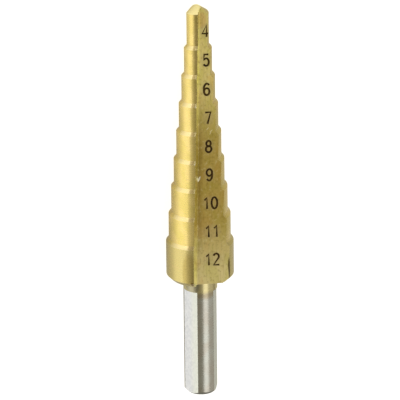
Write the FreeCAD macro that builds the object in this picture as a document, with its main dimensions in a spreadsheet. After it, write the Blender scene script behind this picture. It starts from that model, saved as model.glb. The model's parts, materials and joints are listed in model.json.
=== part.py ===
import FreeCAD, Part
import math
import os
import Sketcher

# Step drill for 4 to 12 mm holes, ground from one bar of tool steel.
# The tool is drawn upright, its axis along +Z with the shank's end at zero
# and the first cutting edge along +X, and is then laid down as it rests.

doc = FreeCAD.newDocument("StepDrill")

# Driving dimensions, in millimetres and degrees.
SIZES = [
    # the stepped cone
    ("tip_diameter", 4),
    ("diameter_rise", 1),
    ("step_count", 9),
    ("step_pitch", 5.2),
    ("shoulder_length", 0.6),
    ("last_step_length", 7.2),
    ("first_step_length", 6.5),
    ("back_chamfer", 0.8),
    # the relief ground behind each cutting edge, as a drop for a full turn
    ("axial_relief", 1.7),
    ("radial_relief", 0.2),
    ("land_lead_angle", 20),
    ("land_sweep_angle", 152),
    # the web that is left between the two flutes
    ("web_back_diameter", 10.2),
    ("web_tip_diameter", 2.9),
    # the two straight flutes
    ("rake_offset", 0.6),
    ("flute_angle", 114.3),
    ("floor_back", 3.95),
    ("floor_tip", 0.85),
    # the point
    ("point_angle", 118),
    ("flank_cone_angle", 68),
    ("flank_reach", 1.9),
    ("flank_skew", 0.2),
    # the shank
    ("shank_diameter", 6),
    ("shank_length", 21.9),
    ("shank_chamfer", 0.6),
    ("flat_count", 3),
    ("flat_length", 19.8),
    ("flat_depth", 0.4),
    ("flat_angle", -24.6),
]

sheet = doc.addObject("Spreadsheet::Sheet", "Sizes")
for row, (name, value) in enumerate(SIZES, start=1):
    sheet.set("A%d" % row, name)
    sheet.set("B%d" % row, str(value))
    sheet.setAlias("B%d" % row, name)
doc.recompute()
size = {name: float(sheet.get(name)) for name, value in SIZES}
STEPS = int(size["step_count"])
lip_corner = (size["shank_length"] + size["last_step_length"]
              + (STEPS - 2) * size["step_pitch"] + size["first_step_length"])

# Formulas for the places that more than one feature uses.
BACK = "Sizes.shank_length"
TIP_RADIUS = "Sizes.tip_diameter / 2"
SHANK_RADIUS = "Sizes.shank_diameter / 2"
LARGEST_RADIUS = "(Sizes.tip_diameter + (Sizes.step_count - 1) * Sizes.diameter_rise) / 2"
LIP_CORNER = ("(Sizes.shank_length + Sizes.last_step_length"
              " + (Sizes.step_count - 2) * Sizes.step_pitch + Sizes.first_step_length)")
TIP = LIP_CORNER + " + " + TIP_RADIUS + " / tan(Sizes.point_angle / 2)"

# How far a cut runs on past the metal, and the size of the wheel that grinds the
# point as a multiple of its reach.
CLEAR = 2
WHEEL_DEPTH = 1.1
WHEEL_RADIUS = 1.4

# A new outline's corners stand round a circle until its formulas place them.
CIRCLE_MIDDLE = 20
CIRCLE_RADIUS = 9


def step_radius(step):
    """Radius of a step, counted from the largest."""
    return "(%s - %d * Sizes.diameter_rise / 2)" % (LARGEST_RADIUS, step)


def rim_height(step):
    """Height of a step's rim at the cutting edge, counted from the largest."""
    return "(%s + Sizes.last_step_length + %d * Sizes.step_pitch)" % (BACK, step)


def sketch_on(body, name, role):
    """A sketch on one of the body's own origin planes."""
    sketch = body.newObject("Sketcher::SketchObject", name)
    planes = [part for part in body.Origin.OriginFeatures if part.Role == role]
    sketch.AttachmentSupport = (planes[0], "")
    sketch.MapMode = "FlatFace"
    return sketch


def draw_outline(sketch, corners):
    """A closed outline whose corners are held by two formulas each, across and up."""
    count = len(corners)
    middle = FreeCAD.Vector(CIRCLE_MIDDLE, CIRCLE_MIDDLE, 0)
    turns = [2 * math.pi * i / count for i in range(count)]
    start = [middle + FreeCAD.Vector(math.cos(turn), math.sin(turn), 0) * CIRCLE_RADIUS for turn in turns]
    for i in range(count):
        sketch.addGeometry(Part.LineSegment(start[i], start[(i + 1) % count]), False)
    for i in range(count):
        sketch.addConstraint(Sketcher.Constraint("Coincident", i, 2, (i + 1) % count, 1))
    for i, (across, up) in enumerate(corners):
        for kind, formula, place in (("DistanceX", across, start[i].x), ("DistanceY", up, start[i].y)):
            number = sketch.addConstraint(Sketcher.Constraint(kind, -1, 1, i, 1, place))
            sketch.setExpression("Constraints[%d]" % number, formula)


def repeat_round(body, feature, name, formula):
    """Repeat a feature evenly round the tool's axis."""
    pattern = body.newObject("PartDesign::PolarPattern", name)
    pattern.Originals = [feature]
    axes = [part for part in body.Origin.OriginFeatures if part.Role == "Z_Axis"]
    pattern.Axis = (axes[0], [""])
    pattern.Angle = 360
    pattern.setExpression("Occurrences", formula)
    body.Tip = pattern
    return pattern


def make_web(body):
    """The solid core, slimmer than the steps, that joins the two lands."""
    sketch = sketch_on(body, "WebOutline", "XZ_Plane")
    draw_outline(sketch, [
        ("0", BACK + " - %d" % CLEAR),
        ("Sizes.web_back_diameter / 2", BACK + " - %d" % CLEAR),
        ("Sizes.web_back_diameter / 2", BACK),
        ("Sizes.web_tip_diameter / 2", TIP),
        ("0", TIP),
    ])
    web = body.newObject("PartDesign::Revolution", "Web")
    web.Profile = sketch
    web.ReferenceAxis = (sketch, ["V_Axis"])
    web.Angle = 360
    return web


def make_lands(body):
    """The two lands: the stepped outline swept down a slow helix that closes in.

    The helix gives every step its clearance behind the cutting edge, both on
    its shoulder and on its round face.
    """
    sketch = sketch_on(body, "LandOutline", "XZ_Plane")
    sketch.AttachmentOffset = FreeCAD.Placement(FreeCAD.Vector(0, 0, 0),
                                                FreeCAD.Rotation(FreeCAD.Vector(0, 1, 0), 1))
    sketch.setExpression("AttachmentOffset.Rotation.Angle", "Sizes.land_lead_angle")
    sketch.setExpression("AttachmentOffset.Base.y", "Sizes.axial_relief * Sizes.land_lead_angle / 360")
    widen = " + Sizes.radial_relief * Sizes.land_lead_angle / 360"
    inner = "Sizes.web_tip_diameter / 4"
    corners = [(inner, BACK + " - %d" % CLEAR), (step_radius(0) + widen, BACK + " - %d" % CLEAR)]
    for step in range(STEPS - 1):
        corners.append((step_radius(step) + widen, rim_height(step)))
        corners.append((step_radius(step + 1) + widen, rim_height(step) + " + Sizes.shoulder_length"))
    corners.append((step_radius(STEPS - 1) + widen, TIP + " + %d" % CLEAR))
    corners.append((inner, TIP + " + %d" % CLEAR))
    draw_outline(sketch, corners)
    land = body.newObject("PartDesign::AdditiveHelix", "Land")
    land.Profile = sketch
    land.ReferenceAxis = (sketch, ["V_Axis"])
    land.Mode = "height-turns-growth"
    land.setExpression("Turns", "Sizes.land_sweep_angle / 360")
    land.setExpression("Height", "Sizes.axial_relief * Sizes.land_sweep_angle / 360")
    land.setExpression("Growth", "-Sizes.radial_relief")
    land.Reversed = True
    doc.recompute()
    return repeat_round(body, land, "Lands", "2")


def make_back(body):
    """The flat back face of the cone, with a chamfer round its rim."""
    sketch = sketch_on(body, "BackOutline", "XZ_Plane")
    draw_outline(sketch, [
        ("0", BACK),
        (LARGEST_RADIUS + " - Sizes.back_chamfer", BACK),
        (LARGEST_RADIUS + " + %d" % CLEAR, BACK + " + Sizes.back_chamfer + %d" % CLEAR),
        (LARGEST_RADIUS + " + %d" % CLEAR, BACK + " - %d" % (2 * CLEAR)),
        ("0", BACK + " - %d" % (2 * CLEAR)),
    ])
    back = body.newObject("PartDesign::Groove", "Back")
    back.Profile = sketch
    back.ReferenceAxis = (sketch, ["V_Axis"])
    back.Angle = 360
    return back


def make_shank(body):
    """The plain round shank with a chamfered end."""
    sketch = sketch_on(body, "ShankOutline", "XZ_Plane")
    draw_outline(sketch, [
        ("0", "0"),
        (SHANK_RADIUS + " - Sizes.shank_chamfer", "0"),
        (SHANK_RADIUS, "Sizes.shank_chamfer"),
        (SHANK_RADIUS, BACK),
        ("0", BACK),
    ])
    shank = body.newObject("PartDesign::Revolution", "Shank")
    shank.Profile = sketch
    shank.ReferenceAxis = (sketch, ["V_Axis"])
    shank.Angle = 360
    return shank


def make_flats(body):
    """Three flats ground along the shank, which the chuck's jaws bear on."""
    sketch = sketch_on(body, "FlatOutline", "XY_Plane")
    sketch.AttachmentOffset = FreeCAD.Placement(FreeCAD.Vector(0, 0, 0),
                                                FreeCAD.Rotation(FreeCAD.Vector(0, 0, 1), 1))
    sketch.setExpression("AttachmentOffset.Rotation.Angle", "Sizes.flat_angle")
    bed = SHANK_RADIUS + " - Sizes.flat_depth"
    draw_outline(sketch, [
        (bed, "-" + SHANK_RADIUS),
        ("Sizes.shank_diameter", "-" + SHANK_RADIUS),
        ("Sizes.shank_diameter", SHANK_RADIUS),
        (bed, SHANK_RADIUS),
    ])
    flat = body.newObject("PartDesign::Pocket", "Flat")
    flat.Profile = sketch
    flat.Reversed = True
    flat.setExpression("Length", "Sizes.flat_length")
    doc.recompute()
    return repeat_round(body, flat, "Flats", "Sizes.flat_count")


def make_flutes(body):
    """Two straight flutes, each a rake wall and a broad floor that follows the cone."""
    slope = "(Sizes.floor_back - Sizes.floor_tip) / (%s - %s)" % (LIP_CORNER, BACK)
    reach = LARGEST_RADIUS + " * 2"
    sections = []
    for name, height in (("FluteBack", BACK + " - %d" % CLEAR), ("FluteTip", TIP + " + %d" % CLEAR)):
        sketch = sketch_on(body, name, "XY_Plane")
        sketch.AttachmentOffset = FreeCAD.Placement(FreeCAD.Vector(0, 0, 1), FreeCAD.Rotation())
        sketch.setExpression("AttachmentOffset.Base.z", height)
        floor = "(Sizes.floor_back - %s * (%s - %s))" % (slope, height, BACK)
        root = "(%s + Sizes.rake_offset * cos(Sizes.flute_angle)) / sin(Sizes.flute_angle)" % floor
        across = "%s * cos(Sizes.flute_angle)" % reach
        up = "Sizes.rake_offset + %s * sin(Sizes.flute_angle)" % reach
        draw_outline(sketch, [
            (root, "Sizes.rake_offset"),
            (root + " + " + reach, "Sizes.rake_offset"),
            (root + " + " + reach + " + " + across, up),
            (root + " + " + across, up),
        ])
        sections.append(sketch)
    flute = body.newObject("PartDesign::SubtractiveLoft", "Flute")
    flute.Profile = sections[0]
    flute.Sections = [sections[1]]
    flute.Ruled = True
    doc.recompute()
    return repeat_round(body, flute, "Flutes", "2")


def make_point(body):
    """The two flanks of the point, each a part of a skewed cone, as a wheel grinds them."""
    lean = "(Sizes.point_angle - Sizes.flank_cone_angle) / 2"
    spread = "tan(Sizes.flank_cone_angle / 2)"
    depth = "(Sizes.flank_reach + %s) * %g" % (TIP_RADIUS, WHEEL_DEPTH)
    width = "(Sizes.flank_reach + %s) * %g" % (TIP_RADIUS, WHEEL_RADIUS)
    sketch = sketch_on(body, "FlankOutline", "XZ_Plane")
    # the offset's three distances and its turn come from the formulas below
    sketch.AttachmentOffset = FreeCAD.Placement(FreeCAD.Vector(-1, 1, -1),
                                                FreeCAD.Rotation(FreeCAD.Vector(0, 0, 1), 1))
    sketch.setExpression("AttachmentOffset.Base.x", "-Sizes.flank_reach")
    sketch.setExpression("AttachmentOffset.Base.y",
                         TIP + " + Sizes.flank_reach / tan(Sizes.point_angle / 2)")
    sketch.setExpression("AttachmentOffset.Base.z", "-Sizes.flank_skew")
    sketch.setExpression("AttachmentOffset.Rotation.Angle", lean)
    draw_outline(sketch, [
        ("0", "0"),
        (depth + " * " + spread, "-" + depth),
        (width, "-" + depth),
        (width, "%d" % CLEAR),
        ("0", "%d" % CLEAR),
    ])
    flank = body.newObject("PartDesign::Groove", "Flank")
    flank.Profile = sketch
    flank.ReferenceAxis = (sketch, ["V_Axis"])
    flank.Angle = 360
    doc.recompute()
    return repeat_round(body, flank, "Point", "2")


def floor_distance(height):
    """How far the flute's floor lies from the axis at a height."""
    rise = (size["floor_back"] - size["floor_tip"]) / (lip_corner - size["shank_length"])
    return size["floor_back"] - rise * (height - size["shank_length"])


def flute_corner(radius, height, turn):
    """The corner where the second flute breaks a rim, turned ahead of the flute's lip."""
    angle = math.radians(180 + turn)
    return FreeCAD.Vector(radius * math.cos(angle), radius * math.sin(angle), height)


def resting_place(solid):
    """The placement in which the tool lies as it comes to rest.

    It lies on the two edges of the second flute, numbered flute upwards. The
    rim of the largest step carries it, and the tool tips about that rim until
    the next corner towards the tip meets the surface.
    """
    radius = (size["tip_diameter"] + (STEPS - 1) * size["diameter_rise"]) / 2
    rim = size["shank_length"] + size["last_step_length"]
    heel_turn = size["flute_angle"] - 90 + math.degrees(math.acos(floor_distance(rim) / radius))
    relieved = (180 - heel_turn) / 360
    edge = flute_corner(radius, rim, math.degrees(math.asin(size["rake_offset"] / radius)))
    heel = flute_corner(radius - size["radial_relief"] * relieved,
                        rim - size["axial_relief"] * relieved, heel_turn)
    chord = heel - edge
    outward = FreeCAD.Vector(0, 0, 1).cross(chord).normalize()
    if outward.dot(edge) < 0:
        outward = -outward
    beyond = [vertex.Point for vertex in solid.Vertexes if vertex.Point.z > rim + size["shoulder_length"]]
    slopes = [((edge - point).dot(outward) / (point.z - rim), index) for index, point in enumerate(beyond)]
    touch = beyond[min(slopes)[1]]
    down = chord.cross(touch - edge).normalize()
    if down.dot(edge) < 0:
        down = -down
    up = -down
    forward = (FreeCAD.Vector(0, 0, 1) - up * up.z).normalize()
    side = forward.cross(up)
    turn = FreeCAD.Rotation(side, forward, up, "XYZ").inverted()
    return FreeCAD.Placement(turn.multVec(-edge), turn)


body = doc.addObject("PartDesign::Body", "step_drill")
body.Label = "step_drill"
for make in (make_web, make_lands, make_back, make_shank, make_flats, make_flutes, make_point):
    make(body)
    doc.recompute()

body.Placement = resting_place(body.Shape.Solids[0])
box = body.Shape.optimalBoundingBox(False, False)
middle = FreeCAD.Vector((box.XMin + box.XMax) / 2, (box.YMin + box.YMax) / 2, box.ZMin)
body.Placement.Base = body.Placement.Base - middle
doc.recompute()

for item in doc.Objects:
    if "Invalid" in item.State or "Error" in item.State:
        raise RuntimeError("failed: " + item.Label)
if body.Shape.isNull() or not body.Shape.isValid() or len(body.Shape.Solids) != 1:
    raise RuntimeError("step_drill is not one valid solid")

os.makedirs("parts", exist_ok=True)
body.Shape.exportStep("parts/step_drill.step")
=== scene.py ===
import json
import math

import bmesh
import bpy
from mathutils import Matrix, Quaternion, Vector


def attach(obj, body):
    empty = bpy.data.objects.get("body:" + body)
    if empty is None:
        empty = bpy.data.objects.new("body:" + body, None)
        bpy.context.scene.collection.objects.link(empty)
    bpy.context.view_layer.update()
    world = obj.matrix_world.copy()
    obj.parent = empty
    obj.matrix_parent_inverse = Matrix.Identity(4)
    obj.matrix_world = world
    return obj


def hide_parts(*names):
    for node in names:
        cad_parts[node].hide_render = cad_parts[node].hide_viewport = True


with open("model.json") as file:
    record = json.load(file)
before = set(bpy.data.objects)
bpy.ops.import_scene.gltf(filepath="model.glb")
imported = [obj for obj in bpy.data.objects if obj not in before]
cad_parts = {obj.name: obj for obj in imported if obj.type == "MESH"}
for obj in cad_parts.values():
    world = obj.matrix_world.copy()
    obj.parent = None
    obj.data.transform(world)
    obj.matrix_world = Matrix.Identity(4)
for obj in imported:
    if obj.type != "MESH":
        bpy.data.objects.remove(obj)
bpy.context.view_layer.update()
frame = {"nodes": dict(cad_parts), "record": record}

# The drill as it lies on the bench. Its shank end and first shank flat give the axes
# that it was ground on: X along the cutting lip of the numbered flute, Z towards the
# tip, in millimetres from the shank end. Angles are in degrees.
MM = 0.001
LIP_AHEAD_OF_FLAT = 24.6

mounts = {mount["name"]: mount for mount in frame["record"]["mounts"]}
shank_end = Vector(mounts["shank_end"]["pos_m"])
tipward = -Vector(mounts["shank_end"]["axis"]).normalized()
flat_facing = Vector(mounts["shank_flat_1"]["axis"])
flat_facing = (flat_facing - flat_facing.dot(tipward) * tipward).normalized()


def turned(direction, degrees):
    """direction, turned about the tool's axis the way that the drill cuts"""
    return Quaternion(tipward, math.radians(degrees)) @ direction


lip = turned(flat_facing, LIP_AHEAD_OF_FLAT)
tool_axes = Matrix((lip, tipward.cross(lip), tipward)).transposed().to_4x4()
tool_to_bench = Matrix.Translation(shank_end) @ tool_axes @ Matrix.Scale(MM, 4)
bench_to_tool = tool_to_bench.inverted()

# The camera looks square at the numbered flute from a long way off, as a shop's
# close-up does, and from a little above the tip. Its distance and reach are in metres.
IMAGE_WIDTH = 400
PIXELS_PER_MM = 5.70
CAMERA_AHEAD_OF_LIP = 16.4
CAMERA_RISE = 22.8
TOOL_LEAN = 0.6
CAMERA_DISTANCE = 1.5
CAMERA_REACH = 10.0
SENSOR = 36.0
AIM_HEIGHT = 36.3
AIM_RIGHT = 0.1

front = turned(lip, CAMERA_AHEAD_OF_LIP)
right = tipward.cross(front)


def seen_from(sideways, rise):
    """direction from the drill, so many degrees right of the camera and above its middle plane"""
    level = turned(front, sideways)
    return math.cos(math.radians(rise)) * level + math.sin(math.radians(rise)) * tipward


def looking(toward, up, place):
    """matrix of a camera or lamp at place that looks along toward with up above"""
    back = -toward.normalized()
    side = up.cross(back).normalized()
    turn = Matrix((side, back.cross(side), back)).transposed().to_4x4()
    return Matrix.Translation(place) @ turn


camera_way = seen_from(0, CAMERA_RISE)
image_up = (tipward - tipward.dot(camera_way) * camera_way).normalized()
image_up = Quaternion(camera_way, math.radians(-TOOL_LEAN)) @ image_up
aim = shank_end + (AIM_HEIGHT * tipward + AIM_RIGHT * right) * MM

camera = bpy.data.objects.new("camera", bpy.data.cameras.new("camera"))
camera.data.sensor_width = SENSOR
camera.data.lens = SENSOR * CAMERA_DISTANCE * PIXELS_PER_MM / (IMAGE_WIDTH * MM)
camera.data.clip_end = CAMERA_REACH
camera.matrix_world = looking(-camera_way, image_up, aim + CAMERA_DISTANCE * camera_way)
bpy.context.scene.collection.objects.link(camera)
bpy.context.scene.camera = camera

# The room: a bench with white paper and five soft lamps in a dim, slightly warm room.
# The bench shows white to the camera and keeps the drill's shadow. In the metal its glow
# is pale on the open left side, and a painted shadow dims it beside the drill and to its right.
BENCH_SIZE = 1.2
BENCH_WHITE = "#F2F2EF"
BENCH_LIFT = 0.85
IN_METAL_NEAR = 0.20
IN_METAL_FAR = 0.90
OPEN_WAY = (-1.0, 0.2, 0.0)
NEAR = 2.5
FAR = 19
ROOM_LEVEL = 0.30
ROOM_TONE = "#FAF2DA"
BACKDROP_LEVEL = 1.0

# Each lamp's degrees right of the camera and above the drill's middle plane, its width,
# length and distance in metres, and its brightness.
LAMPS = {
    "left_softbox": (-60, -18, 0.19, 0.50, 0.45, 0.95),
    "left_reflector": (-42, -18, 0.17, 0.50, 0.45, 0.32),
    "overhead_strip": (36.5, -24, 0.25, 0.40, 0.45, 1.02),
    "tip_softbox": (-90, 46, 0.42, 0.34, 0.45, 1.5),
    "right_softbox": (78, -14, 0.40, 0.50, 0.60, 0.28),
}


def colour(hex_code):
    """linear colour of an sRGB hex value"""
    shares = [int(hex_code[i:i + 2], 16) / 255 for i in (1, 3, 5)]
    return [s / 12.92 if s <= 0.04045 else ((s + 0.055) / 1.055) ** 2.4 for s in shares] + [1.0]


def add(tree, kind, inputs=None, **settings):
    """a new node with its settings, and its inputs linked or set"""
    node = tree.nodes.new(kind)
    for name, value in settings.items():
        setattr(node, name, value)
    for socket, value in (inputs or {}).items():
        if isinstance(value, bpy.types.NodeSocket):
            tree.links.new(value, node.inputs[socket])
        else:
            node.inputs[socket].default_value = value
    return node


def new_material(name):
    """an empty material, and its node tree"""
    material = bpy.data.materials.new(name)
    material.use_nodes = True
    material.node_tree.nodes.clear()
    return material, material.node_tree


def softbox(name, sideways, rise, width, length, distance, level):
    """a rectangular lamp of an even brightness, 1 being white, aimed at the drill's middle"""
    lamp = bpy.data.lights.new(name, "AREA")
    lamp.shape = "RECTANGLE"
    lamp.size = width
    lamp.size_y = length
    lamp.energy = level * math.pi * width * length
    holder = bpy.data.objects.new(name, lamp)
    way = seen_from(sideways, rise)
    holder.matrix_world = looking(-way, tipward, aim + distance * way)
    holder.visible_camera = False
    bpy.context.scene.collection.objects.link(holder)


for name, sizes in LAMPS.items():
    softbox(name, *sizes)

world = bpy.data.worlds.new("room")
world.use_nodes = True
tree = world.node_tree
tree.nodes.clear()
rays = add(tree, "ShaderNodeLightPath")
dim_room = add(tree, "ShaderNodeBackground", {"Color": colour(ROOM_TONE), "Strength": ROOM_LEVEL})
backdrop = add(tree, "ShaderNodeBackground", {"Strength": BACKDROP_LEVEL})
sky = add(tree, "ShaderNodeMixShader",
          {0: rays.outputs["Is Camera Ray"], 1: dim_room.outputs[0], 2: backdrop.outputs[0]})
add(tree, "ShaderNodeOutputWorld", {"Surface": sky.outputs[0]})
bpy.context.scene.world = world
bpy.context.scene.view_settings.view_transform = "Standard"

bench_mesh = bmesh.new()
bmesh.ops.create_grid(bench_mesh, x_segments=1, y_segments=1, size=BENCH_SIZE)
bench = bpy.data.objects.new("bench", bpy.data.meshes.new("bench"))
bench_mesh.to_mesh(bench.data)
bench_mesh.free()
bpy.context.scene.collection.objects.link(bench)

paper, tree = new_material("white_bench_paper")
rays = add(tree, "ShaderNodeLightPath")
here = add(tree, "ShaderNodeTexCoord")
clear_of_drill = add(tree, "ShaderNodeVectorMath", {0: here.outputs["Object"], 1: OPEN_WAY},
                     operation="DOT_PRODUCT")
# Painted shadow: the bench's glow seen in the metal is dimmed close beside the drill.
glow_with_painted_shadow = add(tree, "ShaderNodeMapRange",
                 {"Value": clear_of_drill.outputs["Value"], "From Min": NEAR * MM,
                  "From Max": FAR * MM, "To Min": IN_METAL_NEAR, "To Max": IN_METAL_FAR},
                 interpolation_type="SMOOTHSTEP")
in_metal = add(tree, "ShaderNodeMath",
               {0: rays.outputs["Is Glossy Ray"], 1: glow_with_painted_shadow.outputs[0]}, operation="MULTIPLY")
lift = add(tree, "ShaderNodeMath",
           {0: rays.outputs["Is Camera Ray"], 1: BENCH_LIFT, 2: in_metal.outputs[0]},
           operation="MULTIPLY_ADD")
matt = add(tree, "ShaderNodeBsdfDiffuse", {"Color": colour(BENCH_WHITE)})
glow = add(tree, "ShaderNodeEmission", {"Strength": lift.outputs[0]})
both = add(tree, "ShaderNodeAddShader", {0: matt.outputs[0], 1: glow.outputs[0]})
add(tree, "ShaderNodeOutputMaterial", {"Surface": both.outputs[0]})
bench.data.materials.append(paper)

# The drill: one bar of high-speed steel, turned in steps, with two flutes and the relief
# behind their lips ground on, then coated with titanium nitride. Its shank stays bare
# steel, with three flats for the chuck's jaws.
NECK_TOP = 21.9
SHANK_RADIUS = 3.0
FLAT_COUNT = 3
FLUTE_ANGLE = 114.3
FLOOR_BACK = 3.95
FLOOR_TIP = 0.85
FLUTE_TOP = 72.0
RAKE_OFFSET = 0.6
SAME_FACING = 0.9995
NEARLY = 0.05
SAME_POINT = 0.001
SAME_PLANE = 0.5
SHARP_EDGE = 25
AXIS = Vector((0, 0, 1))

floor_slope = math.atan((FLOOR_BACK - FLOOR_TIP) / (FLUTE_TOP - NECK_TOP))
floor_turn = FLUTE_ANGLE - 90


def polar(degrees, rise=0.0):
    """direction in the tool's own axes: degrees ahead of the lip, rise in radians to the tip"""
    angle = math.radians(degrees)
    return Vector((math.cos(angle) * math.cos(rise), math.sin(angle) * math.cos(rise), math.sin(rise)))


flat_ways = [polar(-LIP_AHEAD_OF_FLAT + i * 360 / FLAT_COUNT) for i in range(FLAT_COUNT)]
floor_ways = [polar(floor_turn + i * 180, floor_slope) for i in range(2)]
floor_out = polar(floor_turn)
floor_right = polar(floor_turn + 90)

ZONES = ["turned_coat", "flute_coat", "rake_coat", "ground_shank", "milled_flats"]


def zone(face):
    """which finish a face has, from where it lies on the tool and which way it faces"""
    centre = bench_to_tool @ face.calc_center_median()
    facing = (tool_axes.to_3x3().transposed() @ face.normal).normalized()
    off_axis = Vector((centre.x, centre.y)).length
    if centre.z < NECK_TOP - NEARLY and off_axis < SHANK_RADIUS + NEARLY:
        on_flat = any(facing.dot(way) > SAME_FACING for way in flat_ways)
        return ZONES.index("milled_flats" if on_flat else "ground_shank")
    if any(facing.dot(way) > SAME_FACING for way in floor_ways):
        return ZONES.index("flute_coat")
    on_wall = abs(facing.y) > SAME_FACING and abs(centre.y) < RAKE_OFFSET + NEARLY
    return ZONES.index("rake_coat" if on_wall else "turned_coat")


drill_mesh = bmesh.new()
drill_mesh.from_mesh(frame["nodes"]["step_drill"].data)
bmesh.ops.remove_doubles(drill_mesh, verts=drill_mesh.verts, dist=SAME_POINT * MM)
bmesh.ops.dissolve_limit(drill_mesh, angle_limit=math.radians(SAME_PLANE), verts=drill_mesh.verts,
                         edges=drill_mesh.edges)
drill_mesh.normal_update()
for face in drill_mesh.faces:
    face.smooth = True
    face.material_index = zone(face)
for edge in drill_mesh.edges:
    edge.smooth = edge.calc_face_angle(0) < math.radians(SHARP_EDGE)
drill = bpy.data.objects.new("coated_drill", bpy.data.meshes.new("coated_drill"))
drill_mesh.to_mesh(drill.data)
drill_mesh.free()
bpy.context.scene.collection.objects.link(drill)

# A tint over a tone starts at the first value of a span and is full at the second. These
# spans are for soft clouds, for the whole of a grain, for the turn of an edge that is worn
# and painted as a highlight, for painted shade in an inner corner, and for an oval mark's rim.
CLOUDS = (0.35, 0.65)
GRAIN = (0.30, 0.70)
EDGE_TURN = (0.985, 0.90)
CORNER_SHADE = (0.90, 0.55)
OVAL_RIM = (1.0, 0.6)


def tool_place(tree):
    """socket with the place on the tool, in millimetres along its own axes"""
    turn = tool_axes.inverted().to_euler("XYZ")
    shift = bench_to_tool.translation
    here = add(tree, "ShaderNodeTexCoord")
    placed = add(tree, "ShaderNodeMapping",
                 {"Vector": here.outputs["Object"], "Location": shift, "Rotation": turn,
                  "Scale": (1 / MM, 1 / MM, 1 / MM)})
    return placed.outputs[0]


def drawn_out(tree, place, spacing, detail=2.0):
    """grain with so many millimetres between its marks along each of the tool's own axes"""
    spread = add(tree, "ShaderNodeMapping", {"Vector": place, "Scale": [1 / s for s in spacing]})
    return add(tree, "ShaderNodeTexNoise",
               {"Vector": spread.outputs[0], "Scale": 1.0, "Detail": detail}).outputs["Fac"]


def layer(tree, tone, tint, pattern, span, most=1.0, how="MIX"):
    """a tone with a tint laid over it, from none of it to most along a span of the pattern"""
    bare, full = span
    share = add(tree, "ShaderNodeMapRange",
                {"Value": pattern, "From Min": bare, "From Max": full, "To Max": most},
                interpolation_type="SMOOTHSTEP")
    return add(tree, "ShaderNodeMix", {0: share.outputs[0], 6: tone, 7: tint},
               data_type="RGBA", blend_type=how).outputs[2]


def worn_edges(tree, tone, tint, width):
    """a tone rubbed to a tint along sharp edges, partly wear and partly a painted highlight, for a width
    in millimetres
    """
    rounded = add(tree, "ShaderNodeBevel", {"Radius": width * MM}, samples=6)
    flat = add(tree, "ShaderNodeNewGeometry")
    same = add(tree, "ShaderNodeVectorMath",
               {0: rounded.outputs[0], 1: flat.outputs["Normal"]}, operation="DOT_PRODUCT")
    return layer(tree, tone, tint, same.outputs["Value"], EDGE_TURN)


def tight_corners(tree, tone, tint, reach):
    """a tone darkened to a tint as painted shade in the bottom of inner corners, for a reach in
    millimetres
    """
    sheltered = add(tree, "ShaderNodeAmbientOcclusion", {"Distance": reach * MM}, samples=8,
                    only_local=True)
    return layer(tree, tone, tint, sheltered.outputs["AO"], CORNER_SHADE)


def spot(tree, tone, tint, place, middle, along, outward, half_sizes, most=1.0):
    """a tone with an oval mark, given its half sizes along, across and into the face"""
    across = outward.cross(along).normalized()
    axes = Matrix((along, across, along.cross(across))).transposed()
    near = add(tree, "ShaderNodeMapping",
               {"Vector": place, "Location": middle, "Rotation": axes.to_euler("XYZ"),
                "Scale": half_sizes}, vector_type="TEXTURE")
    away = add(tree, "ShaderNodeVectorMath", {0: near.outputs[0]}, operation="LENGTH")
    return layer(tree, tone, tint, away.outputs["Value"], OVAL_RIM, most)


def metal(tree, tone, grain, smooth, rough, relief, relief_height):
    """ground metal of one tone, smoother and rougher with its grain, its marks so many mm high"""
    roughness = add(tree, "ShaderNodeMapRange",
                    {"Value": grain, "From Min": GRAIN[0], "From Max": GRAIN[1], "To Min": smooth,
                     "To Max": rough})
    marks = add(tree, "ShaderNodeBump", {"Height": relief, "Distance": relief_height * MM})
    shader = add(tree, "ShaderNodeBsdfPrincipled",
                 {"Base Color": tone, "Metallic": 1.0, "Roughness": roughness.outputs[0],
                  "Normal": marks.outputs[0]})
    add(tree, "ShaderNodeOutputMaterial", {"Surface": shader.outputs[0]})


# Titanium nitride on form-ground steel: clear pale gold, with fine rings that the wheel
# left round the tool. Inner corners get a painted brown shade, and the edges are worn thin
# and pale with a painted highlight. The real rings are 0.05 mm apart, and are drawn at 0.3 mm to show.
COAT_GOLD = colour("#EBD386")
COAT_OLIVE = colour("#DFCA76")
COAT_ROSE = colour("#E6C58A")
COAT_BROWN = colour("#7E6228")
COAT_PALE = colour("#F8EAB4")
RING_SPACING = (6.0, 6.0, 0.3)
HAZE_SPACING = (2.2, 2.2, 3.0)
ROSE_RINGS = (0.55, 0.75)
COAT_SHADE_REACH = 0.45
EDGE_WEAR_AND_HIGHLIGHT = 0.06

# The 12 mm step is drawn darker. The sloping shoulders are painted pale towards the
# lips as a highlight, with a narrow strip of painted brown shade beside each lip, and
# the point's cone is painted bright as a highlight.
COAT_LARGEST_STEP = colour("#D0BF7C")
COAT_SHOULDER_HIGHLIGHT = colour("#FBEBB8")
POINT_HIGHLIGHT = colour("#FFF0AC")
LARGEST_STEP = (29.4, 29.0)
ACROSS_TOOL = (1.0, 1.0, 0.0)
SHOULDER_HIGHLIGHT_SPAN = (0.42, 0.54)
LIP_SHADE_FALL = 4.5
LIP_SHADE_SPAN = (0.05, 0.40)
POINT_SLOPE = (0.70, 0.80)


def on_round(radius, degrees, height):
    """place at a radius, degrees ahead of the lip and a height, in the tool's own axes"""
    return radius * polar(degrees) + height * AXIS
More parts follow.
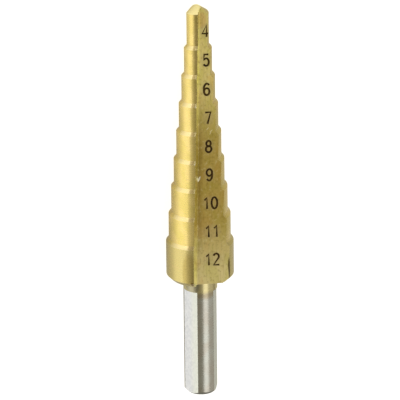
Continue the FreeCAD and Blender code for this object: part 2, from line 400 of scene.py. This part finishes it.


# Marks, each with its middle, the ways it runs and faces, and its half sizes: a dark line
# of painted shade along the 12 mm step's heel, a dull band of painted shade at its lip, a dark
# spot of painted shade in its back rim, a small bright streak in the flute's corner, and two
# lip corners painted bright as highlights.
HEEL_SHADE = (on_round(5.97, 75.6, 24.6), AXIS, polar(60), (2.4, 0.26, 0.42))
LIP_BAND_SHADE = (on_round(6.0, -3.0, 24.7), AXIS, polar(-3.0), (4.6, 1.55, 0.6))
BACK_RIM_SHADE = (on_round(5.7, 2.2, 22.5), AXIS, polar(2.2), (0.8, 0.28, 0.6))
BRIGHT_STREAK = (on_round(2.80, 15.6, 41.4), (0.45 * polar(106.4) + AXIS).normalized(), polar(14.8),
        (0.70, 0.18, 0.60))
LIP_CORNER_GLINTS = [(on_round(3.50, 9.9, 55.3), AXIS, polar(9.9), (0.32, 0.22, 0.30)),
               (on_round(4.50, 7.7, 44.9), AXIS, polar(7.7), (0.32, 0.22, 0.30))]
HEEL_SHADE_DARK = colour("#5A4618")
LIP_BAND_DULL = colour("#B29C56")
STREAK_AND_GLINT_BRIGHT = colour("#FFF6D8")

turned_coat, tree = new_material("turned_coat")
place = tool_place(tree)
rings = drawn_out(tree, place, RING_SPACING)
haze = drawn_out(tree, place, HAZE_SPACING)
height = add(tree, "ShaderNodeSeparateXYZ", {"Vector": place}).outputs["Z"]
surface = add(tree, "ShaderNodeNewGeometry")
tip_facing = add(tree, "ShaderNodeVectorMath", {0: surface.outputs["Normal"], 1: tipward},
                 operation="DOT_PRODUCT").outputs["Value"]
outwards = add(tree, "ShaderNodeVectorMath", {0: place, 1: ACROSS_TOOL}, operation="MULTIPLY")
bearing = add(tree, "ShaderNodeVectorMath", {0: outwards.outputs[0]}, operation="NORMALIZE")
bearing_parts = add(tree, "ShaderNodeSeparateXYZ", {"Vector": bearing.outputs[0]})
near_lip = add(tree, "ShaderNodeMath", {0: bearing_parts.outputs["X"]}, operation="ABSOLUTE")
off_lip = add(tree, "ShaderNodeMath", {0: bearing_parts.outputs["Y"]}, operation="ABSOLUTE")
# Mask for a painted highlight: tip-facing faces towards the lips.
cutting = add(tree, "ShaderNodeMath", {0: tip_facing, 1: near_lip.outputs[0]}, operation="MULTIPLY")
# Mask for painted shade: a narrow strip beside each lip on tip-facing faces.
lip_shade_mask = add(tree, "ShaderNodeMath", {0: off_lip.outputs[0], 1: -LIP_SHADE_FALL, 2: tip_facing},
             operation="MULTIPLY_ADD")
tone = layer(tree, COAT_OLIVE, COAT_GOLD, haze, CLOUDS)
# The 12 mm step is drawn darker.
tone = layer(tree, tone, COAT_LARGEST_STEP, height, LARGEST_STEP)
tone = layer(tree, tone, COAT_ROSE, rings, ROSE_RINGS, most=0.25)
# Painted highlight: the shoulders are painted pale towards the lips.
tone = layer(tree, tone, COAT_SHOULDER_HIGHLIGHT, cutting.outputs[0], SHOULDER_HIGHLIGHT_SPAN, most=0.50)
# Painted shade: a brown strip beside each lip on the shoulders.
tone = layer(tree, tone, COAT_BROWN, lip_shade_mask.outputs[0], LIP_SHADE_SPAN, most=0.60)
# Painted highlight: the point's cone is painted bright.
tone = layer(tree, tone, POINT_HIGHLIGHT, tip_facing, POINT_SLOPE)
# Painted shade: a dull band at the 12 mm step's lip.
tone = spot(tree, tone, LIP_BAND_DULL, place, *LIP_BAND_SHADE, most=0.60)
# Painted shade: inner corners are darkened to brown.
tone = tight_corners(tree, tone, COAT_BROWN, COAT_SHADE_REACH)
# Painted shade: a dark spot in the back rim.
tone = spot(tree, tone, COAT_BROWN, place, *BACK_RIM_SHADE)
# Edges are worn pale, with a painted highlight.
tone = worn_edges(tree, tone, COAT_PALE, EDGE_WEAR_AND_HIGHLIGHT)
# Painted shade: a dark line along the 12 mm step's heel.
tone = spot(tree, tone, HEEL_SHADE_DARK, place, *HEEL_SHADE)
# Painted highlights on two lip corners.
for corner in LIP_CORNER_GLINTS:
    tone = spot(tree, tone, STREAK_AND_GLINT_BRIGHT, place, *corner)
metal(tree, tone, rings, smooth=0.25, rough=0.29, relief=rings, relief_height=0.0002)

# The same coating on the flutes, which a wheel ground lengthways. Heat and the film's
# thickness tint it in clouds of green, rose and brown. A painted reflection makes it brighter
# towards the tip and the shank, so it is darker half way up, and the flute's corner has a
# painted brown shade. Real grinding lines of 0.03 mm are drawn at 0.25 mm to show.
FLUTE_DARK = colour("#C9AF5C")
FLUTE_TIP_REFLECTION = colour("#FFEC96")
FLUTE_SHANK_REFLECTION = colour("#FFF0AE")
FLUTE_CORNER_SHADE = colour("#8C6C24")
TINT_GREEN = colour("#EDF2CF")
TINT_ROSE = colour("#FBEBDC")
LINE_SPACING = (0.25, 0.25, 4.0)
SPECKLE_SPACING = (0.45, 0.45, 0.5)
CLOUD_SPACING = (2.0, 2.0, 3.5)
TO_CORNER_SHADE = (RAKE_OFFSET + 1.1, RAKE_OFFSET + 0.1)
TO_TIP_REFLECTION = (46.0, 61.0)
TO_SHANK_REFLECTION = (36.0, 22.0)
GREEN_CLOUDS = (0.50, 0.65)
ROSE_CLOUDS = (0.47, 0.33)
BROWN_SPECKLE = (0.52, 0.70)
PALE_SPECKLE = (0.42, 0.28)
BROWN_LINES = (0.50, 0.70)

# The middle of each number on the flute's floor, in millimetres from the shank end and to
# the right of the floor's middle line. The laser's heat has left a dull stain round it.
NUMBER_MIDDLES = {
    12: (26.40, 1.76),
    11: (31.60, 1.62),
    10: (36.86, 1.61),
    9: (42.10, 1.43),
    8: (47.33, 1.39),
    7: (52.57, 1.37),
    6: (57.85, 1.24),
    5: (63.20, 1.26),
    4: (68.50, 1.17),
}
HEAT_STAIN = colour("#C2AE84")
STAIN_HEIGHT = 1.7
STAIN_MARGIN = 0.5
STAIN_DEPTH = 0.8
HALF_DIGIT = 0.75

# Three pale scuffs under the 7, each with its place on the floor and how far it leans to
# the right, and a rose stain at the tip.
SCUFFS = [(50.6, 1.25, 0.9), (49.8, 1.75, 0.5), (50.2, 1.9, 1.4)]
SCUFF_SIZES = (0.4, 0.1, 0.5)
TIP_STAIN = (70.6, 0.5)
TIP_STAIN_SIZES = (1.8, 1.1, 0.8)
TIP_ROSE = colour("#E2A95E")


def on_floor(height, sideways):
    """place on the floor of the numbered flute, in the tool's own axes"""
    depth = FLOOR_BACK - (height - NECK_TOP) * math.tan(floor_slope)
    return depth * floor_out + sideways * floor_right + height * AXIS


flute_coat, tree = new_material("flute_coat")
place = tool_place(tree)
lines = drawn_out(tree, place, LINE_SPACING)
speckle = drawn_out(tree, place, SPECKLE_SPACING)
clouds = drawn_out(tree, place, CLOUD_SPACING)
place_parts = add(tree, "ShaderNodeSeparateXYZ", {"Vector": place})
# Painted shade: brown towards the flute's corner.
tone = layer(tree, FLUTE_DARK, FLUTE_CORNER_SHADE, place_parts.outputs["Y"], TO_CORNER_SHADE, most=0.50)
# Painted reflection: brighter towards the tip, and towards the shank below.
tone = layer(tree, tone, FLUTE_TIP_REFLECTION, place_parts.outputs["Z"], TO_TIP_REFLECTION)
tone = layer(tree, tone, FLUTE_SHANK_REFLECTION, place_parts.outputs["Z"], TO_SHANK_REFLECTION, most=0.75)
tone = layer(tree, tone, TINT_GREEN, clouds, GREEN_CLOUDS, most=0.5, how="MULTIPLY")
tone = layer(tree, tone, TINT_ROSE, clouds, ROSE_CLOUDS, most=0.5, how="MULTIPLY")
tone = layer(tree, tone, COAT_BROWN, speckle, BROWN_SPECKLE, most=0.25)
tone = layer(tree, tone, COAT_PALE, speckle, PALE_SPECKLE, most=0.30)
tone = layer(tree, tone, COAT_BROWN, lines, BROWN_LINES, most=0.15)
for number, (height, middle) in NUMBER_MIDDLES.items():
    half_width = HALF_DIGIT * len(str(number)) + STAIN_MARGIN
    tone = spot(tree, tone, HEAT_STAIN, place, on_floor(height, middle), AXIS, floor_out,
                (STAIN_HEIGHT, half_width, STAIN_DEPTH), most=0.28)
tone = spot(tree, tone, TIP_ROSE, place, on_floor(*TIP_STAIN), AXIS, floor_out, TIP_STAIN_SIZES,
            most=0.35)
for height, sideways, lean in SCUFFS:
    tone = spot(tree, tone, COAT_PALE, place, on_floor(height, sideways),
                (AXIS + lean * floor_right).normalized(), floor_out, SCUFF_SIZES, most=0.8)
# Edges are worn pale, with a painted highlight.
tone = worn_edges(tree, tone, COAT_PALE, EDGE_WEAR_AND_HIGHLIGHT)
# Painted shade: a dark line along the 12 mm step's heel.
tone = spot(tree, tone, HEEL_SHADE_DARK, place, *HEEL_SHADE)
# A small bright streak in the flute's corner.
tone = spot(tree, tone, STREAK_AND_GLINT_BRIGHT, place, *BRIGHT_STREAK)
metal(tree, tone, speckle, smooth=0.30, rough=0.42, relief=lines, relief_height=0.001)

# The rake faces behind the cutting lips are ground last and finest, lengthways like the
# flutes, and their coating is painted pale as a highlight.
RAKE_HIGHLIGHT_PALE = colour("#EBEDC6")
RAKE_GOLD = colour("#DCDCA2")

rake_coat, tree = new_material("rake_coat")
place = tool_place(tree)
lines = drawn_out(tree, place, LINE_SPACING)
clouds = drawn_out(tree, place, HAZE_SPACING)
# Painted highlight: the rake faces are pale.
tone = layer(tree, RAKE_HIGHLIGHT_PALE, RAKE_GOLD, clouds, CLOUDS)
# A small bright streak in the flute's corner.
tone = spot(tree, tone, STREAK_AND_GLINT_BRIGHT, place, *BRIGHT_STREAK)
# Painted highlights on two lip corners.
for corner in LIP_CORNER_GLINTS:
    tone = spot(tree, tone, STREAK_AND_GLINT_BRIGHT, place, *corner)
metal(tree, tone, lines, smooth=0.24, rough=0.32, relief=lines, relief_height=0.0008)

# Bare high-speed steel, ground round between centres: grey and bright, with fine rings.
# The coating thins out over the neck and ends in a ragged brown and grey band of oxide,
# with a patch of painted grey shade on the neck and painted brown shade in its inner corner.
# The chamfer at the shank's end is drawn dark.
STEEL = colour("#C8C9C1")
STEEL_WARM = colour("#C2BDB2")
OXIDE_BAND = colour("#B8AC92")
NECK_GOLD = colour("#DDD09C")
NECK_SHADE_GREY = colour("#9E9880")
END_DARK = colour("#6E6D64")
NECK_SHADE_PATCH = (on_round(SHANK_RADIUS, -14.0, 21.0), AXIS, polar(-14.0), (1.8, 1.9, 1.0))
NECK_SHADE_REACH = 0.35
RAGGEDNESS = 0.9
BAND_STARTS = (18.6, 19.6)
GOLD_STARTS = (19.7, 20.6)
END_CHAMFER = (0.70, 0.55)
END_FACE = (0.05, 0.02)

ground_shank, tree = new_material("ground_shank")
place = tool_place(tree)
rings = drawn_out(tree, place, RING_SPACING)
haze = drawn_out(tree, place, HAZE_SPACING)
height = add(tree, "ShaderNodeSeparateXYZ", {"Vector": place}).outputs["Z"]
ragged = add(tree, "ShaderNodeMath", {0: haze, 1: RAGGEDNESS, 2: height},
             operation="MULTIPLY_ADD").outputs[0]
tone = layer(tree, STEEL, STEEL_WARM, haze, CLOUDS)
tone = layer(tree, tone, OXIDE_BAND, ragged, BAND_STARTS)
tone = layer(tree, tone, NECK_GOLD, ragged, GOLD_STARTS)
# Painted shade: a grey patch on the neck.
tone = spot(tree, tone, NECK_SHADE_GREY, place, *NECK_SHADE_PATCH, most=0.85)
# Painted shade in the neck's inner corner.
tone = tight_corners(tree, tone, COAT_BROWN, NECK_SHADE_REACH)
# The chamfer at the shank's end is drawn darker.
tone = layer(tree, tone, END_DARK, height, END_CHAMFER)
tone = layer(tree, tone, STEEL, height, END_FACE)
metal(tree, tone, rings, smooth=0.26, rough=0.30, relief=rings, relief_height=0.0003)

# The flats for the chuck's jaws are milled across the bar and left bare: pale grey, nearly
# matt and cloudy, and a faint green to one side. The cutter's short scratches are 0.05 mm
# apart, and are drawn at 0.25 mm to show.
FLAT_PALE = colour("#E9EAEC")
FLAT_GREY = colour("#DCDEE2")
FLAT_GREEN = colour("#E8EBDB")
SCRATCH_SPACING = (0.25, 0.25, 0.35)
BLOTCH_SPACING = (0.45, 0.45, 0.6)
TO_GREEN_SIDE = (-0.6, 1.2)
GREY_SCRATCHES = (0.55, 0.70)

milled_flats, tree = new_material("milled_flats")
place = tool_place(tree)
scratches = drawn_out(tree, place, SCRATCH_SPACING, detail=3.0)
blotches = drawn_out(tree, place, BLOTCH_SPACING)
across_flat = add(tree, "ShaderNodeVectorMath", {0: place, 1: polar(90 - LIP_AHEAD_OF_FLAT)},
                  operation="DOT_PRODUCT").outputs["Value"]
tone = layer(tree, FLAT_GREY, FLAT_PALE, blotches, CLOUDS)
tone = layer(tree, tone, FLAT_GREEN, across_flat, TO_GREEN_SIDE, most=0.65)
tone = layer(tree, tone, FLAT_GREY, scratches, GREY_SCRATCHES, most=0.35)
metal(tree, tone, scratches, smooth=0.42, rough=0.52, relief=scratches, relief_height=0.001)

# The finishes go on in the order of ZONES.
for finish in (turned_coat, flute_coat, rake_coat, ground_shank, milled_flats):
    drill.data.materials.append(finish)
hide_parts("step_drill")
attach(drill, "root")

# The numbers: each step's diameter in millimetres, burnt into the coating on the flute's
# floor by a marking laser, in strokes of dark brown oxide, matt and beaded.
NUMBER_HEIGHT = 2.1
NUMBER_STROKE = 0.36
NUMBER_ADVANCE = 1.42
DIGIT_WIDTH = 0.50
MARK_RISE = 0.008
STROKE_ROUNDNESS = 2
STROKE_CLOSES = 0.01
OXIDE_DARK = colour("#352407")
OXIDE_BROWN = colour("#654A18")
BEAD_SPACING = (0.25, 0.25, 0.25)
BROWN_BEADS = (0.40, 0.65)
OXIDE_ROUGHNESS = (0.55, 0.75)
OXIDE_GLOSS = 0.2


def bow(across, up, half_width, half_height, start, end, count=16):
    """points on an oval stroke, from start to end in degrees"""
    steps = [math.radians(start + (end - start) * i / count) for i in range(count + 1)]
    return [(across + half_width * math.cos(a), up + half_height * math.sin(a)) for a in steps]


def half_turned(strokes):
    """strokes, turned upside down, which makes a 9 of a 6"""
    return [[(DIGIT_WIDTH - x, 1 - y) for x, y in stroke] for stroke in strokes]


# Each digit is drawn in single strokes, half as wide as it is high, its height being 1.
SIX = [bow(0.27, 0.30, 0.23, 0.30, 0, 360), [(0.04, 0.34)] + bow(0.29, 0.55, 0.25, 0.45, 170, 42, 8)]
DIGITS = {
    "0": [bow(0.25, 0.5, 0.24, 0.5, 0, 360, 24)],
    "1": [[(0.10, 0.76), (0.30, 1.0), (0.30, 0.0)]],
    "2": [bow(0.25, 0.74, 0.22, 0.26, 165, -35, 10) + [(0.02, 0.0), (0.50, 0.0)]],
    "4": [[(0.36, 0.0), (0.36, 1.0), (0.0, 0.30), (0.50, 0.30)]],
    "5": [[(0.46, 1.0), (0.10, 1.0), (0.05, 0.53)] + bow(0.25, 0.33, 0.23, 0.33, 125, -150, 12)],
    "6": SIX,
    "7": [[(0.02, 1.0), (0.48, 1.0), (0.20, 0.0)]],
    "8": [bow(0.25, 0.76, 0.19, 0.24, 0, 360), bow(0.25, 0.27, 0.24, 0.27, 0, 360)],
    "9": half_turned(SIX),
}


def lasered_number(number, height, middle):
    """a mesh of one number's strokes, lying on the floor of the numbered flute"""
    reach = [x * NUMBER_HEIGHT + column * NUMBER_ADVANCE for column, digit in enumerate(str(number))
             for stroke in DIGITS[digit] for x, y in stroke]
    left = middle - (min(reach) + max(reach)) / 2
    strokes = bpy.data.curves.new("strokes", "CURVE")
    strokes.dimensions = "3D"
    strokes.bevel_depth = NUMBER_STROKE / 2
    strokes.bevel_resolution = STROKE_ROUNDNESS
    strokes.use_fill_caps = True
    for column, digit in enumerate(str(number)):
        for stroke in DIGITS[digit]:
            spline = strokes.splines.new("POLY")
            closed = math.dist(stroke[0], stroke[-1]) < STROKE_CLOSES
            points = stroke[:-1] if closed else stroke
            spline.points.add(len(points) - 1)
            spline.use_cyclic_u = closed
            for point, (x, y) in zip(spline.points, points):
                point.co = (x * NUMBER_HEIGHT + column * NUMBER_ADVANCE, (y - 0.5) * NUMBER_HEIGHT, 0, 1)
    shape = bpy.data.objects.new("strokes", strokes)
    mesh = bpy.data.meshes.new_from_object(shape)
    bpy.data.objects.remove(shape)
    outward = polar(floor_turn, floor_slope)
    along = outward.cross(floor_right)
    flattened = Matrix.Diagonal((1, 1, 2 * MARK_RISE / NUMBER_STROKE, 1))
    lay = Matrix((floor_right, along, outward)).transposed().to_4x4()
    mesh.transform(tool_to_bench @ Matrix.Translation(on_floor(height, left)) @ lay @ flattened)
    mark = bpy.data.objects.new(f"number_{number}", mesh)
    bpy.context.scene.collection.objects.link(mark)
    return mark


laser_oxide, tree = new_material("laser_oxide")
place = tool_place(tree)
bead = drawn_out(tree, place, BEAD_SPACING)
tone = layer(tree, OXIDE_DARK, OXIDE_BROWN, bead, BROWN_BEADS)
crust = add(tree, "ShaderNodeMapRange",
            {"Value": bead, "From Min": GRAIN[0], "From Max": GRAIN[1],
             "To Min": OXIDE_ROUGHNESS[0], "To Max": OXIDE_ROUGHNESS[1]})
shader = add(tree, "ShaderNodeBsdfPrincipled",
             {"Base Color": tone, "Roughness": crust.outputs[0], "Specular IOR Level": OXIDE_GLOSS})
add(tree, "ShaderNodeOutputMaterial", {"Surface": shader.outputs[0]})

for number, (height, middle) in NUMBER_MIDDLES.items():
    mark = lasered_number(number, height, middle)
    mark.data.materials.append(laser_oxide)
    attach(mark, "root")
